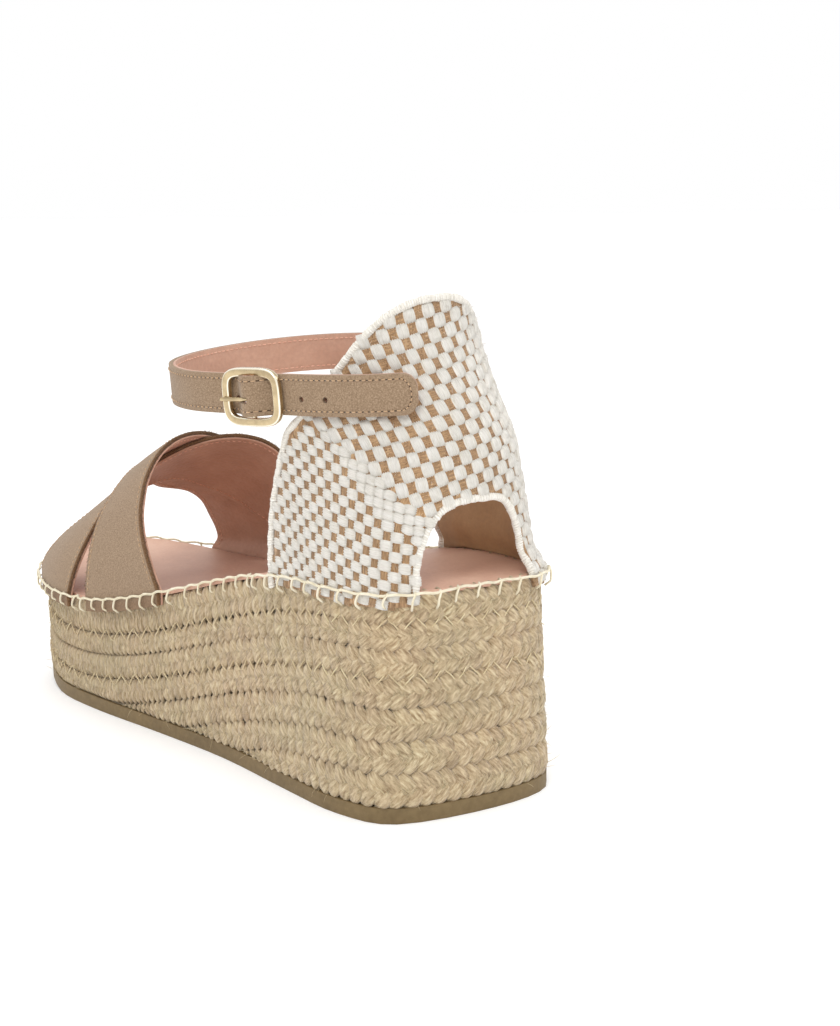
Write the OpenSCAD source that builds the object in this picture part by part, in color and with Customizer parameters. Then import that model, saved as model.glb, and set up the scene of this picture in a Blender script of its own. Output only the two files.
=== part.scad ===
// Wedge sandal for the left foot: jute-wrapped platform, crossed suede bands,
// woven heel panel with a back cut-out, and an ankle strap with a centre-bar buckle.
// +Y points to the toe, -X to the outer side of the foot, +Z up, floor at z = 0.

/* [Sole] */
// Height of the insole edge at the heel
heel_height = 68.7; // [60:0.1:76]
// How far the insole edge drops from heel to ball
insole_drop = 27.8; // [22:0.1:32]
// How far the braid rows drop from heel to ball
row_drop = 32; // [28:0.5:34]
// Rubber outsole thickness
rubber = 4.8; // [3:0.1:6]
// Rise of the outsole at the toe
toe_spring = 11; // [4:1:14]
// Depth of one jute braid from its outer to its inner face
braid_depth = 9; // [6:0.5:11]
// How much narrower the heel is at the top than at the floor
heel_flare = 2.7; // [0:0.1:5]

/* [Insole] */
// Leather sock thickness
sock = 1.2; // [0.8:0.1:2]
// Foam pad thickness
pad = 3; // [2:0.5:4]
// Insole board thickness
board = 2; // [1.5:0.5:3]

/* [Heel panel] */
// Height of the top of the panel above the floor
panel_apex = 152; // [140:1:160]
// How much lower the panel's front corners are than its top
panel_slope = 40; // [30:1:45]
// Height of the back cut-out above the insole edge
cutout_height = 25.5; // [18:0.5:28]
// Thickness of the woven canvas
canvas = 1.5; // [1:0.1:2]
// Radius of the rolled edges
binding_r = 1.2; // [0.8:0.1:1.5]

/* [Vamp bands] */
// Suede thickness
suede = 1.3; // [1:0.1:1.6]
// Lining leather thickness
lining = 0.8; // [0.6:0.1:1]
// Arch height of the vamp over the insole at the instep
instep = 54; // [48:1:60]

/* [Ankle strap] */
// Strap width
strap_w = 12.2; // [10:0.1:12.4]
// Height of the strap's middle above the floor at the shoe's centre
strap_z = 127.2; // [122:0.1:130]
// Distance between the strap's holes
hole_pitch = 8.6; // [7:0.1:9]
// Radius of the strap's holes
hole_r = 0.9; // [0.7:0.1:1]

/* [Buckle] */
// Frame width along the strap
frame_l = 22; // [21:0.5:24]
// Frame height across the strap
frame_h = 17.6; // [17.4:0.1:19]
// Width of the frame's band
frame_band = 2; // [1.6:0.1:2]
// Frame thickness
frame_t = 2.2; // [1.8:0.1:2.6]
// Radius of the centre bar
bar_r = 0.8; // [0.7:0.05:0.9]

/* [Hidden] */
$fn = 32;
// Clearance between neighbouring layers
gap = 0.1;
// Clearance of an eye or loop round the buckle's bar
fit = 0.06;
// Longer than the whole shoe, for cutting through it
BIG = 400;

// ---------- general helpers ----------
function clamp01(t) = min(1, max(0, t));
function ease(t) = let (c = clamp01(t)) c * c * (3 - 2 * c);
function mix(a, b, t) = a * (1 - t) + b * t;
function unit(v) = v / norm(v);

// Catmull-Rom value between b and c
function spline4(a, b, c, d, t) =
    0.5 * (2 * b + (c - a) * t + (2 * a - 5 * b + 4 * c - d) * t * t
    + (3 * b - a - 3 * c + d) * t * t * t);
// Closed curve: s runs once round in steps of 1 per point
function loop_at(p, s) =
    let (n = len(p), i = floor(s), t = s - i, k = ((i % n) + n) % n)
    spline4(p[(k + n - 1) % n], p[k], p[(k + 1) % n], p[(k + 2) % n], t);
// Open curve: s from 0 to len(p) - 1
function path_at(p, s) =
    let (n = len(p), i = min(n - 2, max(0, floor(s))), t = s - i)
    spline4(i == 0 ? 2 * p[0] - p[1] : p[i - 1], p[i], p[i + 1],
        i + 2 < n ? p[i + 2] : 2 * p[n - 1] - p[n - 2], t);

// Closed shell from two grids of points: rows g[i][j], outer and inner skins
module shell(outer, inner) {
    n = len(outer);
    m = len(outer[0]);
    pts = concat([for (r = outer) each r], [for (r = inner) each r]);
    o = function(i, j) i * m + j;
    q = function(i, j) n * m + i * m + j;
    faces = concat(
        [for (i = [0:n - 2], j = [0:m - 2]) each
            [[o(i, j), o(i + 1, j), o(i + 1, j + 1)], [o(i, j), o(i + 1, j + 1), o(i, j + 1)],
             [q(i, j), q(i + 1, j + 1), q(i + 1, j)], [q(i, j), q(i, j + 1), q(i + 1, j + 1)]]],
        [for (i = [0:n - 2]) each
            [[o(i, 0), q(i, 0), q(i + 1, 0)], [o(i, 0), q(i + 1, 0), o(i + 1, 0)],
             [o(i, m - 1), q(i + 1, m - 1), q(i, m - 1)],
             [o(i, m - 1), o(i + 1, m - 1), q(i + 1, m - 1)]]],
        [for (j = [0:m - 2]) each
            [[o(0, j), q(0, j + 1), q(0, j)], [o(0, j), o(0, j + 1), q(0, j + 1)],
             [o(n - 1, j), q(n - 1, j), q(n - 1, j + 1)],
             [o(n - 1, j), q(n - 1, j + 1), o(n - 1, j + 1)]]]);
    polyhedron(points = pts, faces = faces);
}

// Tube of radius r through a list of points, closed into a ring if round_trip;
// ref is a direction the path never keeps to, which steadies the rings
module tube(path, r, sides = 6, round_trip = false, ref = [0, 0, 1]) {
    n = len(path);
    dir = [for (i = [0:n - 1]) unit(
        (round_trip || i < n - 1 ? path[(i + 1) % n] : path[i])
        - (round_trip || i > 0 ? path[(i + n - 1) % n] : path[i]))];
    side = [for (d = dir) unit(cross(d, abs(d * ref) > 0.9 ? [0, 1, 0] : ref))];
    pts = [for (i = [0:n - 1], k = [0:sides - 1])
        let (a = 360 * k / sides, up = cross(side[i], dir[i]))
        path[i] + r * (side[i] * cos(a) + up * sin(a))];
    rings = round_trip ? n : n - 1;
    body = [for (i = [0:rings - 1], k = [0:sides - 1])
        let (a = i * sides + k, b = i * sides + (k + 1) % sides,
            c = ((i + 1) % n) * sides + k, d = ((i + 1) % n) * sides + (k + 1) % sides)
        each [[a, b, c], [b, d, c]]];
    caps = round_trip ? [] : concat([[for (k = [sides - 1:-1:0]) k]],
        [[for (k = [0:sides - 1]) (n - 1) * sides + k]]);
    polyhedron(points = pts, faces = concat(body, caps));
}

// ---------- sole ----------
// Floor outline, from the back of the heel round the outer side to the toe and back
SOLE = [[0, -123], [-32, -117], [-40.5, -98], [-40.5, -70], [-39, -30], [-41.5, 10],
    [-45, 50], [-44, 80], [-33, 107], [-8, 123], [18, 118], [36, 96], [44, 62],
    [40, 25], [33.5, -15], [33, -65], [33, -98], [24.5, -118]];
SOLE_N = len(SOLE);
STEPS = 4;

function outline_at(s, out = 0) =
    let (p = loop_at(SOLE, s), t = loop_at(SOLE, s + 0.02) - loop_at(SOLE, s - 0.02))
    p + out * unit([-t[1], t[0]]);
function flare_at(y, z) = heel_flare * clamp01(0.2 - y / 100) * z / heel_height;
// Outline at height z, moved outward by out
function section_at(s, z, out = 0) =
    outline_at(s, out - flare_at(loop_at(SOLE, s)[1], z));
function section(z, out = 0) =
    [for (i = [0:SOLE_N * STEPS - 1]) section_at(i / STEPS, z, out)];

function toe_rise(y, k = 1) = k * pow(max(0, (y - 75) / 48), 2);
function rim_z(y) = heel_height - insole_drop * ease((y + 85) / 148) + toe_rise(y, 6);
function rubber_top(y) = rubber + toe_rise(y, toe_spring);
// Upper boundary of each braid row at the heel; row 1 ends under the sock
ROW_TOP = [heel_height, 59.4, 52, 43.2, 34.4, 24.5, 15];
ROWS = len(ROW_TOP);
function row_z(k, y) =
    k == 0 ? rim_z(y) - sock - gap
    : k >= ROWS ? rubber_top(y)
    : let (z = ROW_TOP[k] - row_drop * ease((y + 100) / 165))
        max(z + toe_rise(y, mix(toe_spring, 6, clamp01(z / 41))), rubber_top(y));

// Profile between two heights that change along the shoe, given as functions of y
module side_cut(low, high, y0 = -130, y1 = 130, step = 10) {
    ys = [for (y = [y0:step:y1]) y];
    rotate([90, 0, 90])
        linear_extrude(BIG, center = true)
            polygon(concat([for (y = ys) [y, low(y)]],
                [for (i = [len(ys) - 1:-1:0]) [ys[i], high(ys[i])]]));
}

// Slab of the sole between two heights, with the outline moved outward by out
module slab(low, high, z, out = 0) {
    intersection() {
        linear_extrude(BIG, center = true) polygon(section(z, out));
        side_cut(low, high);
    }
}

module outsole() {
    color("#7d6a3a")
        slab(function(y) toe_rise(y, toe_spring), function(y) rubber_top(y) - gap, 0);
}

module wedge_core() {
    color("#c9a97c")
        slab(function(y) rubber_top(y), function(y) rim_z(y) - sock - pad - board - 3 * gap,
            heel_height, -braid_depth - gap);
}

// Where a row tapers to nothing against the rubber, going from heel to toe
function row_end(k) =
    let (hits = [for (y = [-120:1:125]) if (row_z(k - 1, y) - row_z(k, y) < 0.8) y])
    len(hits) > 0 ? hits[0] : 130;

module braid_row(k) {
    mid = (ROW_TOP[k - 1] + (k < ROWS ? ROW_TOP[k] : rubber)) / 2;
    color("#c8ae80")
        intersection() {
            difference() {
                linear_extrude(BIG, center = true) polygon(section(mid, 0));
                linear_extrude(BIG + 2, center = true)
                    polygon(section(heel_height, -braid_depth));
            }
            side_cut(function(y) row_z(k, y), function(y) row_z(k - 1, y) - gap,
                -130, row_end(k), (row_end(k) + 130) / 26);
        }
}

// Zigzag thread over the seam between rows k and k + 1, on the outer wall
module zigzag(k) {
    teeth = 66;
    swing = 2.2;
    r = 0.25;
    s0 = 0.2;
    color("#d8cba4")
        tube([for (i = [0:2 * teeth - 1])
            let (s = s0 + i * SOLE_N / (2 * teeth),
                p = section_at(s, ROW_TOP[k], r + 0.25),
                z = row_z(k, p[1]) + (i % 2 == 0 ? swing : -swing))
            [p[0], p[1], z]], r, 4, true);
}

// ---------- insole ----------
module insole_sock() {
    color("#e3b7a0")
        slab(function(y) rim_z(y) - sock, function(y) rim_z(y), heel_height, -0.3);
}

module insole_padding() {
    color("#e8d9b8")
        slab(function(y) rim_z(y) - sock - pad, function(y) rim_z(y) - sock - gap,
            heel_height, -braid_depth - gap);
}

module insole_board() {
    color("#b99b6b")
        slab(function(y) rim_z(y) - sock - pad - board - gap,
            function(y) rim_z(y) - sock - pad - gap, heel_height, -braid_depth - gap);
}

// ---------- heel panel ----------
// Sweep angle a: -90 inner front edge, 0 back of the heel, 90 outer front edge
// Outline points from the back of the heel to the panel's front edge, at the rim
PANEL_S = 3.2;
// Sweep of the panel's upper arc to each side, as a part of an ellipse
WING = 72;
function panel_back_y(z) = -120 + 17 * ease((z - 104) / 42);
function panel_front_y(z) = -61 - 12 * (z - 68) / 44;
function panel_wide(a, z) =
    a > 0 ? 36.5 - 4 * clamp01((z - 118) / 34) : 36 - 13 * clamp01((z - 108) / 44);
function panel_base(a, out) = section_at(a / 90 * PANEL_S, heel_height, out);
function panel_top(a, z) =
    let (f = panel_front_y(z), w = a * WING / 90)
    [-2 - panel_wide(a, z) * sin(w) / sin(WING),
        f + (panel_back_y(z) - f) * (cos(w) - cos(WING)) / (1 - cos(WING))];
// Gap between the jute wall and what hangs outside it
HEM_OUT = 0.7;
// How far the canvas leans in over the rim, above its hem
TUCK = 3.6;
function tuck(a, z) = TUCK * ease((50 - a) / 70) * ease((z - heel_height - 0.5) / 8);
// Outer face of the canvas at angle a and height z
function panel_skin(a, z) =
    let (p = mix(panel_base(a, HEM_OUT + canvas - tuck(a, z)), panel_top(a, z),
        ease((z - heel_height + 3) / 61)))
    [p[0], p[1], z];
function panel_normal(a, z) =
    let (da = panel_skin(min(90, a + 1), z) - panel_skin(max(-90, a - 1), z),
        dz = panel_skin(a, z + 1) - panel_skin(a, z - 1))
    unit(cross(da, dz));
// A point at depth d inside the canvas's outer face
function panel_point(a, z, d) = panel_skin(a, z) + d * panel_normal(a, z);

function panel_edge_z(a) = panel_apex - panel_slope * pow(abs(a) / 90, 2.5);
// How far panel and bands reach down outside the rim
HEM = 4.5;
// The back cut-out: its middle and half width in degrees, and how square its arch is
CUT_MID = 1.8;
CUT_HALF = 20;
CUT_SHAPE = 3.6;
// Lower edge: the hem outside the rim, or the arch of the back cut-out
function panel_low_z(a, hem, grow = 0) =
    let (t = min(1, abs(a - CUT_MID) / (CUT_HALF + grow)), y = panel_base(a, 0)[1])
    rim_z(y) - hem
        + (cutout_height + hem + 0.7 * grow) * pow(1 - pow(t, CUT_SHAPE), 1 / CUT_SHAPE);
// Sweep angles: dense where the arch is steep
function panel_angles(edge, grow) = concat(
    [for (i = [0:8]) mix(-edge, CUT_MID - CUT_HALF - grow, i / 9)],
    [for (i = [-9:9]) CUT_MID + (CUT_HALF + grow) * sin(10 * i)],
    [for (i = [8:-1:0]) mix(edge, CUT_MID + CUT_HALF + grow, i / 9)]);

// Shell of the panel between depths d0 and d1, its edges pulled back by inset
module panel_shell(d0, d1, inset, hem) {
    grow = 1.7 * inset;
    angles = panel_angles(90 - inset * 1.15, grow);
    // four close rows over the tuck at the rim, then even rows to the top edge
    tuck_rows = [0, 3, 6, 9];
    rest = 6;
    skin = function(d) [for (a = angles)
        let (lo = panel_low_z(a, hem, grow), start = max(lo + 0.4, heel_height + 0.6),
            hi = panel_edge_z(a) - inset * (1.05 + 0.6 * abs(a) / 90),
            zs = concat([lo], [for (t = tuck_rows) start + t],
                [for (j = [1:rest]) mix(start + tuck_rows[3], hi, j / rest)]))
        [for (z = zs) panel_point(a, z, d)]];
    shell(skin(d0), skin(d1));
}

module heel_panel() {
    color("#e9e2d2") panel_shell(0, canvas, binding_r + 3 * gap, HEM);
}

module heel_lining() {
    depth = canvas + 5 * gap;
    color("#c9a47c") panel_shell(depth, depth + lining, binding_r + 0.8, -0.3);
}

module panel_binding() {
    d = canvas / 2;
    hem_z = rim_z(panel_front_y(heel_height)) + 0.5;
    color("#f2ece0")
        tube(concat(
            [for (i = [0:5]) panel_point(-90, mix(hem_z, panel_edge_z(90), i / 6), d)],
            [for (a = [-90:7.5:90]) panel_point(a, panel_edge_z(a), d)],
            [for (i = [5:-1:0]) panel_point(90, mix(hem_z, panel_edge_z(90), i / 6), d)]),
            binding_r, 8);
}

module cutout_binding() {
    color("#f2ece0")
        tube([for (i = [-12:12])
            let (s = sin(7.3 * i), c = cos(7.3 * i), k = 2 / CUT_SHAPE,
                a = CUT_MID + CUT_HALF * sign(s) * pow(abs(s), k))
            panel_point(a, heel_height - HEM + (cutout_height + HEM) * pow(c, k), canvas / 2)],
            binding_r, 8, ref = [0, 1, 0]);
}

// ---------- vamp bands ----------
// The rim's outer and inner side as tables from y to x
RIM_OUTER = [for (i = [0:24]) let (p = section_at(3 + i / 4, 45)) [p[1], p[0]]];
RIM_INNER = [for (i = [0:20]) let (p = section_at(15.5 - i / 4, 45)) [p[1], p[0]]];
function arch_h(y) = 15 + (instep - 15) * (1 - ease((y - 25) / 95));
// Point over the foot: t from 0 at the outer rim to 180 at the inner rim;
// past either end it runs straight down outside the rim, HEM over 10 degrees
function arch_point(t, y, out) =
    let (xo = lookup(y, RIM_OUTER) - out, xi = lookup(y, RIM_INNER) + out,
        c = min(180, max(0, t)), past = max(-t, t - 180, 0))
    [(xo + xi) / 2 - (xi - xo) / 2 * cos(c), y,
        rim_z(y) + (arch_h(y) + out) * sin(c) - HEM * past / 10];

// Band edges as [t, y], from the outer base over the top to the inner base
OVER_FRONT = [[0, 49], [35, 47], [60, 53], [90, 80], [115, 85], [145, 96], [180, 100]];
OVER_REAR = [[0, 3], [35, 20], [60, 31], [90, 41], [115, 49], [145, 60], [165, 66],
    [180, 69]];
UNDER_FRONT = [[0, 103], [35, 92], [60, 81], [90, 72], [115, 75], [145, 72], [165, 62],
    [180, 54]];
UNDER_REAR = [[0, 62], [35, 53], [60, 52], [90, 41], [115, 31], [145, 27], [180, 14]];
// Band edge at angle t, through its knots
function edge_y(edge, t) =
    let (k = [for (i = [0:len(edge) - 1]) [edge[i][0], i]])
    path_at([for (e = edge) e[1]], lookup(t, k));

// Band of thickness th; its inner face stands base off the rim and lift more over the arch
module band(front, rear, base, lift, th) {
    along = concat([-10], [for (i = [0:18]) 10 * i], [190]);
    across = 5;
    face = function(extra) [for (t = along)
        let (c = min(180, max(0, t)),
            out = base + lift * ease(min(c / 35, (180 - c) / 12)) + extra)
        [for (j = [0:across])
            arch_point(t, mix(edge_y(front, c), edge_y(rear, c), j / across), out)]];
    shell(face(th), face(0));
}

// Inner face of the suede off the rim, and the extra height where one band crosses the other
SUEDE_OUT = HEM_OUT + lining + gap;
CROSSING = lining + suede + 3 * gap;

module under_band_lining() {
    color("#dfa98f") band(UNDER_FRONT, UNDER_REAR, HEM_OUT, 0, lining);
}

module under_band() {
    color("#a88a66") band(UNDER_FRONT, UNDER_REAR, SUEDE_OUT, 0, suede);
}

module over_band_lining() {
    color("#dfa98f") band(OVER_FRONT, OVER_REAR, HEM_OUT, CROSSING, lining);
}

module over_band() {
    color("#a88a66") band(OVER_FRONT, OVER_REAR, SUEDE_OUT, CROSSING, suede);
}

// ---------- blanket stitch round the rim ----------
STITCHES = 74;
THREAD_R = 0.55;
// Running lengths, so that stitches are spaced evenly
OUTLINE_DENSE = [for (i = [0:SOLE_N * 8]) section_at(i / 8, 50)];
OUTLINE_LEN = [for (i = 0, len = 0; i <= SOLE_N * 8; len = len
    + (i < SOLE_N * 8 ? norm(OUTLINE_DENSE[i + 1] - OUTLINE_DENSE[i]) : 0), i = i + 1)
    [len, i / 8]];
OUTLINE_TOTAL = OUTLINE_LEN[SOLE_N * 8][0];
function ramp(v, lo, hi) = clamp01(1 + min(v - lo, hi - v) / 4);
// 1 where suede or canvas lies outside the rim, 0 on the bare rim
function covered(p) =
    p[1] < -40 ? min(ramp(p[1], -200, -52), 1 - ramp(p[0], -13, 9) * ramp(p[1], -200, -108))
    : p[0] < 0 ? max(ramp(p[1], -1, 53), ramp(p[1], 58, 107))
    : ramp(p[1], 10, 104);
function rim_thread(f, drop) =
    let (s = lookup(f * OUTLINE_TOTAL, OUTLINE_LEN), q = section_at(s, heel_height),
        p = section_at(s, heel_height, THREAD_R + 0.5 + covered(q) * (SUEDE_OUT + suede)))
    [p[0], p[1], rim_z(p[1]) - drop];

module rim_stitch() {
    color("#efe6cf") {
        tube([for (i = [0:95]) rim_thread(i / 96, 0.3)], THREAD_R, 6, true);
        for (i = [0:STITCHES - 1])
            translate(rim_thread((i + 0.5) / STITCHES, 1.2 + HEM))
                cylinder(r = THREAD_R - 0.1, h = HEM - 0.2);
    }
}

// ---------- ankle strap ----------
// The strap is a ribbon in a frame tilted about Y, higher on the inner side
STRAP_TILT = 4.6;
module strap_frame() {
    translate([0, 0, strap_z]) rotate([0, -STRAP_TILT, 0]) children();
}
// Middle line from the tip, round the front of the ankle, to the inner side of the heel
STRAP_LINE = [[-19.5, -112], [-26.3, -106], [-32.4, -97.8], [-37.2, -87.4], [-40.7, -76.5],
    [-45, -63.8], [-49.5, -51], [-51.5, -38], [-49, -24], [-42, -11], [-31, -1], [-16, 5],
    [0, 6], [14, 2], [25, -7], [31.5, -20], [33.5, -36], [32, -52], [27.5, -66],
    [21.9, -78], [18.5, -90]];
LINE_DENSE = [for (i = [0:(len(STRAP_LINE) - 1) * 4]) path_at(STRAP_LINE, i / 4)];
LINE_LEN = [for (i = 0, d = 0; i < len(LINE_DENSE); d = d
    + (i + 1 < len(LINE_DENSE) ? norm(LINE_DENSE[i + 1] - LINE_DENSE[i]) : 0), i = i + 1)
    [d, i / 4]];
STRAP_LEN = LINE_LEN[len(LINE_LEN) - 1][0];
function line_at(d) = path_at(STRAP_LINE, lookup(d, LINE_LEN));
function line_dir(d) = unit(line_at(d + 0.5) - line_at(d - 0.5));
// Outward normal of the ribbon, seen from above
function line_out(d) = let (t = line_dir(d)) [-t[1], t[0]];

// Length from the strap's tip to the buckle's bar
BAR_D = 54;
// How far the frame and the row of holes sit below the strap's middle
SAG = 0.6;
HOLE_DROP = 1.2;
// Buckle layout across the strap, measured outward from the strap's middle
STRAP_T = suede + gap + lining;
FRAME_IN = STRAP_T / 2 + 0.6;
BAR_OUT = FRAME_IN + bar_r;
LOOP_R = bar_r + fit + 0.75;
PRONG_R = 0.65;
// How far the strap's middle rises to pass over the bar
RISE = BAR_OUT + LOOP_R + 0.2 + STRAP_T / 2;
function rise_at(d) = let (u = abs(d - BAR_D) / (frame_l / 2 - frame_band - 1.2))
    u < 1 ? RISE * (0.5 + 0.5 * cos(180 * u)) : 0;
function strap_at(d, off) = line_at(d) + line_out(d) * (off + rise_at(d));

// Ribbon between two offsets from the strap's middle
module ribbon(o0, o1) {
    step = 1.5;
    n = ceil(STRAP_LEN / step);
    ds = [for (i = [0:n]) i / n * STRAP_LEN];
    linear_extrude(strap_w, center = true)
        polygon(concat([for (d = ds) strap_at(d, o0)],
            [for (i = [n:-1:0]) strap_at(ds[i], o1)]));
}

// Local frame at length d: X along the strap away from its tip, Y outward, Z up
module on_strap(d) {
    t = line_dir(d);
    translate([line_at(d)[0], line_at(d)[1], 0]) rotate([0, 0, atan2(t[1], t[0])]) children();
}

module strap_body(o0, o1) {
    tip_r = 4.5;
    slot = 7;
    strap_frame() difference() {
        ribbon(o0, o1);
        // rounded tip
        for (side = [0, 1]) mirror([0, 0, side]) on_strap(0) difference() {
            translate([-tip_r, -5, strap_w / 2 - tip_r]) cube([2 * tip_r, 10, 2 * tip_r]);
            translate([tip_r, 0, strap_w / 2 - tip_r]) rotate([90, 0, 0])
                cylinder(r = tip_r, h = 20, center = true);
        }
        // spare holes toward the tip
        for (k = [1:3]) on_strap(BAR_D - k * hole_pitch) translate([0, 0, -HOLE_DROP])
            rotate([90, 0, 0]) cylinder(r = hole_r, h = 30, center = true);
        // hole in use, drawn open by the prong
        on_strap(BAR_D) translate([0, 0, -HOLE_DROP]) {
            translate([-0.5, 0, -PRONG_R - 0.3]) cube([slot, 3 * RISE, 2 * PRONG_R + 0.6]);
            translate([slot - 0.5, 0, 0]) rotate([-90, 0, 0])
                cylinder(r = PRONG_R + 0.3, h = 3 * RISE);
        }
    }
}

module ankle_strap() {
    color("#a88a66") strap_body(STRAP_T / 2 - suede, STRAP_T / 2);
}

module ankle_strap_lining() {
    color("#dfa98f") strap_body(-STRAP_T / 2, -STRAP_T / 2 + lining);
}

// ---------- buckle ----------
module on_bar() {
    strap_frame() on_strap(BAR_D) children();
}

// Rectangle with cut corners
module cut_corners(l, h, c) {
    polygon([[-l / 2, c - h / 2], [c - l / 2, -h / 2], [l / 2 - c, -h / 2], [l / 2, c - h / 2],
        [l / 2, h / 2 - c], [l / 2 - c, h / 2], [c - l / 2, h / 2], [-l / 2, h / 2 - c]]);
}

module buckle_frame() {
    corner = 4.5;
    color("#b8bcc0") on_bar() translate([0, 0, -SAG]) {
        translate([0, FRAME_IN, 0]) rotate([-90, 0, 0]) linear_extrude(frame_t) difference() {
            cut_corners(frame_l, frame_h, corner);
            cut_corners(frame_l - 2 * frame_band, frame_h - 2 * frame_band, corner * 0.6);
        }
        translate([0, BAR_OUT, 0])
            cylinder(r = bar_r, h = frame_h - frame_band, center = true);
    }
}

// Eye on the bar, arm through the strap to the front face of the frame's toe side
module buckle_prong() {
    eye_h = 2.4;
    root_y = BAR_OUT + LOOP_R - PRONG_R;
    rest_y = FRAME_IN + frame_t + PRONG_R + 0.08;
    rest_x = frame_l / 2 - frame_band;
    rise = atan2(rest_y - root_y, rest_x);
    color("#b8bcc0") on_bar() translate([0, 0, -HOLE_DROP]) difference() {
        union() {
            translate([0, BAR_OUT, 0]) cylinder(r = LOOP_R, h = eye_h, center = true);
            translate([0, root_y, 0]) rotate([0, 0, rise]) rotate([0, 90, 0]) {
                cylinder(r = PRONG_R, h = frame_l / 2 - 0.6);
                translate([0, 0, frame_l / 2 - 0.6]) sphere(r = PRONG_R);
            }
        }
        translate([0, BAR_OUT, 0]) cylinder(r = bar_r + fit, h = 20, center = true);
    }
}

// Leather loop round the bar; its tail runs inside the outer wing of the heel panel
module buckle_strap() {
    h = 9;
    slot = 3;
    thick = 1;
    tail = [[-0.6, BAR_OUT - LOOP_R + thick / 2], [-3.5, 0], [-8, -2.6], [-12.5, -5.9],
        [-17, -7.3], [-22, -7.6]];
    n = (len(tail) - 1) * 3;
    mid = [for (i = [0:n]) path_at(tail, i / 3)];
    nrm = [for (i = [0:n]) let (t = unit(mid[min(n, i + 1)] - mid[max(0, i - 1)])) [-t[1], t[0]]];
    color("#a88a66") on_bar() difference() {
        union() {
            translate([0, BAR_OUT, 0]) cylinder(r = LOOP_R, h = h, center = true);
            linear_extrude(h, center = true)
                polygon(concat([for (i = [0:n]) mid[i] + nrm[i] * thick / 2],
                    [for (i = [n:-1:0]) mid[i] - nrm[i] * thick / 2]));
        }
        translate([0, BAR_OUT, 0]) cylinder(r = bar_r + fit, h = 20, center = true);
        translate([-2.6, -BIG / 2, -slot / 2 - HOLE_DROP]) cube([10, BIG, slot]);
    }
}

outsole();
wedge_core();
braid_row(1);  // braid_row_1
braid_row(2);  // braid_row_2
braid_row(3);  // braid_row_3
braid_row(4);  // braid_row_4
braid_row(5);  // braid_row_5
braid_row(6);  // braid_row_6
braid_row(7);  // braid_row_7
zigzag(1);  // zigzag_stitch_upper
zigzag(3);  // zigzag_stitch_lower
insole_board();
insole_padding();
insole_sock();
rim_stitch();
heel_panel();
heel_lining();
panel_binding();
cutout_binding();
under_band();
under_band_lining();
over_band();
over_band_lining();
ankle_strap();
ankle_strap_lining();
buckle_strap();
buckle_frame();
buckle_prong();
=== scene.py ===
"""Looks of the wedge sandal: plaited jute, basket weave, suede, leather, thread and metal.

Shapes follow the CAD part's own formulas (millimetres), and are written to Blender in metres.
"""
import math
import random

import bmesh
import bpy
import numpy as np
from mathutils import Matrix, Vector

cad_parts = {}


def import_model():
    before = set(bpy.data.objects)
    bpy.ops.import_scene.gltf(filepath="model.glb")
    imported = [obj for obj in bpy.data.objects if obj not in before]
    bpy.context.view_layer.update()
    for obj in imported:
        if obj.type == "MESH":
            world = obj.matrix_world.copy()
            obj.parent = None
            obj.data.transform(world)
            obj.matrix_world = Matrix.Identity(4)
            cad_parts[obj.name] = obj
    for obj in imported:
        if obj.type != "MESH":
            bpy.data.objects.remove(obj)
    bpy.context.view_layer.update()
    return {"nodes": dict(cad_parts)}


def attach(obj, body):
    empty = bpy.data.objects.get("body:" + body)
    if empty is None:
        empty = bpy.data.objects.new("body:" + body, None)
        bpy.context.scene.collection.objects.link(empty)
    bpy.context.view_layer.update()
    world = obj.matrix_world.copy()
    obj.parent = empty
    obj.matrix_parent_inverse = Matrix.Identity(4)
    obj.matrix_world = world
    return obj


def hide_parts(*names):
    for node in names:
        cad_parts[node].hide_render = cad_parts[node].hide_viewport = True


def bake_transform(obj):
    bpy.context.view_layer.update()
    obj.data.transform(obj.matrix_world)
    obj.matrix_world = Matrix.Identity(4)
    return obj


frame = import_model()
NODES = frame["nodes"]
MM = 0.001
rng = random.Random(11)

# ---------- the CAD part's driving sizes, mm ----------
HEEL_H, DROP, ROW_DROP, RUBBER, TOE_SPRING = 68.7, 27.8, 32.0, 4.8, 11.0
FLARE, SOCK, GAP = 2.7, 1.2, 0.1
APEX, SLOPE, CUT_H, CANVAS = 152.0, 40.0, 25.5, 1.5
SUEDE, LINING, INSTEP = 1.3, 0.8, 54.0
STRAP_W, STRAP_Z, STRAP_TILT = 12.2, 127.2, math.radians(4.6)
SOLE = [(0, -123), (-32, -117), (-40.5, -98), (-40.5, -70), (-39, -30), (-41.5, 10),
        (-45, 50), (-44, 80), (-33, 107), (-8, 123), (18, 118), (36, 96), (44, 62),
        (40, 25), (33.5, -15), (33, -65), (33, -98), (24.5, -118)]
ROW_TOP = [HEEL_H, 59.4, 52, 43.2, 34.4, 24.5, 15]


def clamp01(t):
    return min(1.0, max(0.0, t))


def ease(t):
    c = clamp01(t)
    return c * c * (3 - 2 * c)


def mix(a, b, t):
    return a * (1 - t) + b * t


def spline(a, b, c, d, t):
    return 0.5 * (2 * b + (c - a) * t + (2 * a - 5 * b + 4 * c - d) * t * t
                  + (3 * b - a - 3 * c + d) * t ** 3)


def loop_at(points, s):
    n, i = len(points), math.floor(s)
    p = [Vector(points[(i + k) % n]) for k in (-1, 0, 1, 2)]
    return spline(*p, s - i)


def path_at(points, s):
    n = len(points)
    i = int(min(n - 2, max(0, math.floor(s))))
    p = [np.array(q, float) for q in points]
    before = 2 * p[0] - p[1] if i == 0 else p[i - 1]
    after = p[i + 2] if i + 2 < n else 2 * p[-1] - p[-2]
    return spline(before, p[i], p[i + 1], after, s - i)


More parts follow.
